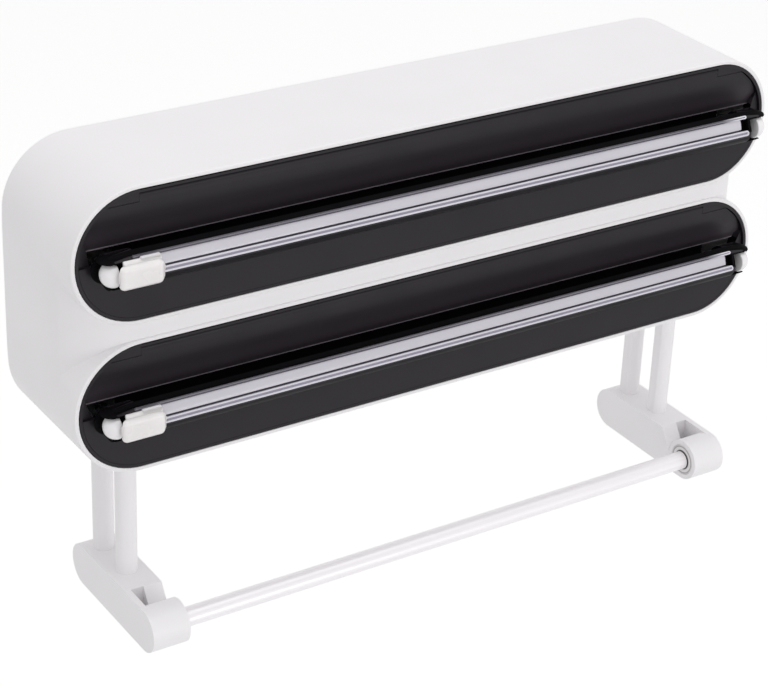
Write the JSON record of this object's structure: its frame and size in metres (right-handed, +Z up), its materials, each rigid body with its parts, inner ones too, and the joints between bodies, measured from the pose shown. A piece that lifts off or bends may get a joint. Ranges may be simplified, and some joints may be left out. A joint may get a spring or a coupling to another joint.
{
  "type": "wall-mounted film and kitchen roll dispenser",
  "caption": "Wall-mounted dispenser: white casing with stacked film bays behind black drop fronts with slide cutters and end buttons, and a sprung rod for a kitchen roll on brackets below.",
  "frame": {"origin": "middle of the back, on the wall plane, half-way between the two film tiers", "axes": "+X along the width, to the right seen from the front; +Y into the wall; +Z up; the front faces -Y"},
  "size_m": [0.375, 0.0932, 0.2203],
  "materials": {
    "white_shell": "smooth satin white moulding",
    "white_inner": "plain matt white moulding",
    "black_front": "smooth satin black moulding",
    "clear_rail": "clear polished plastic",
    "frosted_grip": "translucent milky plastic",
    "white_small": "plain white moulding",
    "button_white": "polished white",
    "rod_metal": "silvery white, smooth",
    "steel": "bright steel"
  },
  "bodies": {
    "base": {"casing": "white_shell", "back_plate": "white_inner", "shelf": "white_inner", "back_screws": "steel", "leg_screws": "steel", "hinge_pins": "steel", "bezel_upper": "black_front", "bezel_lower": "black_front", "bracket_left": "white_shell", "bracket_right": "white_shell", "bush_left": "white_small", "bush_right": "white_small"},
    "front_upper": {"door_upper": "black_front", "rail_upper": "clear_rail", "spring_upper_left": "steel", "spring_upper_right": "steel"},
    "cutter_upper": {"cutter_grip_upper": "frosted_grip", "cutter_runner_upper": "white_small", "cutter_blade_upper": "steel"},
    "button_upper_left_press": {"button_upper_left": "button_white"},
    "button_upper_right_press": {"button_upper_right": "button_white"},
    "front_lower": {"door_lower": "black_front", "rail_lower": "clear_rail", "spring_lower_left": "steel", "spring_lower_right": "steel"},
    "cutter_lower": {"cutter_grip_lower": "frosted_grip", "cutter_runner_lower": "white_small", "cutter_blade_lower": "steel"},
    "button_lower_left_press": {"button_lower_left": "button_white"},
    "button_lower_right_press": {"button_lower_right": "button_white"},
    "rod": {"rod_tube": "rod_metal", "rod_plug": "white_small", "rod_seat": "white_small", "rod_spring": "steel"},
    "plunger": {"rod_plunger": "white_small"}
  },
  "joints": [
    {"name": "front_upper_swing", "type": "hinge", "parent": "base", "child": "front_upper", "pos_m": [0, -0.0654, 0.0627], "axis": [-1, 0, 0], "range_deg": [0, 80]},
    {"name": "cutter_upper_slide", "type": "slide", "parent": "front_upper", "child": "cutter_upper", "axis": [1, 0, 0], "range_m": [0, 0.3195]},
    {"name": "button_upper_left_press", "type": "slide", "parent": "front_upper", "child": "button_upper_left_press", "axis": [1, 0, 0], "range_m": [0, 0.003], "stiffness_N_per_m": 250, "springref_m": -0.004},
    {"name": "button_upper_right_press", "type": "slide", "parent": "front_upper", "child": "button_upper_right_press", "axis": [-1, 0, 0], "range_m": [0, 0.003], "stiffness_N_per_m": 250, "springref_m": -0.004},
    {"name": "front_lower_swing", "type": "hinge", "parent": "base", "child": "front_lower", "pos_m": [0, -0.0654, -0.0093], "axis": [-1, 0, 0], "range_deg": [0, 80]},
    {"name": "cutter_lower_slide", "type": "slide", "parent": "front_lower", "child": "cutter_lower", "axis": [1, 0, 0], "range_m": [0, 0.3195]},
    {"name": "button_lower_left_press", "type": "slide", "parent": "front_lower", "child": "button_lower_left_press", "axis": [1, 0, 0], "range_m": [0, 0.003], "stiffness_N_per_m": 250, "springref_m": -0.004},
    {"name": "button_lower_right_press", "type": "slide", "parent": "front_lower", "child": "button_lower_right_press", "axis": [-1, 0, 0], "range_m": [0, 0.003], "stiffness_N_per_m": 250, "springref_m": -0.004},
    {"name": "rod_spin", "type": "hinge", "parent": "base", "child": "rod", "pos_m": [0, -0.0828, -0.1416], "axis": [1, 0, 0], "continuous": true},
    {"name": "plunger_slide", "type": "slide", "parent": "rod", "child": "plunger", "axis": [-1, 0, 0], "range_m": [0, 0.007], "stiffness_N_per_m": 400, "springref_m": -0.006}
  ]
}
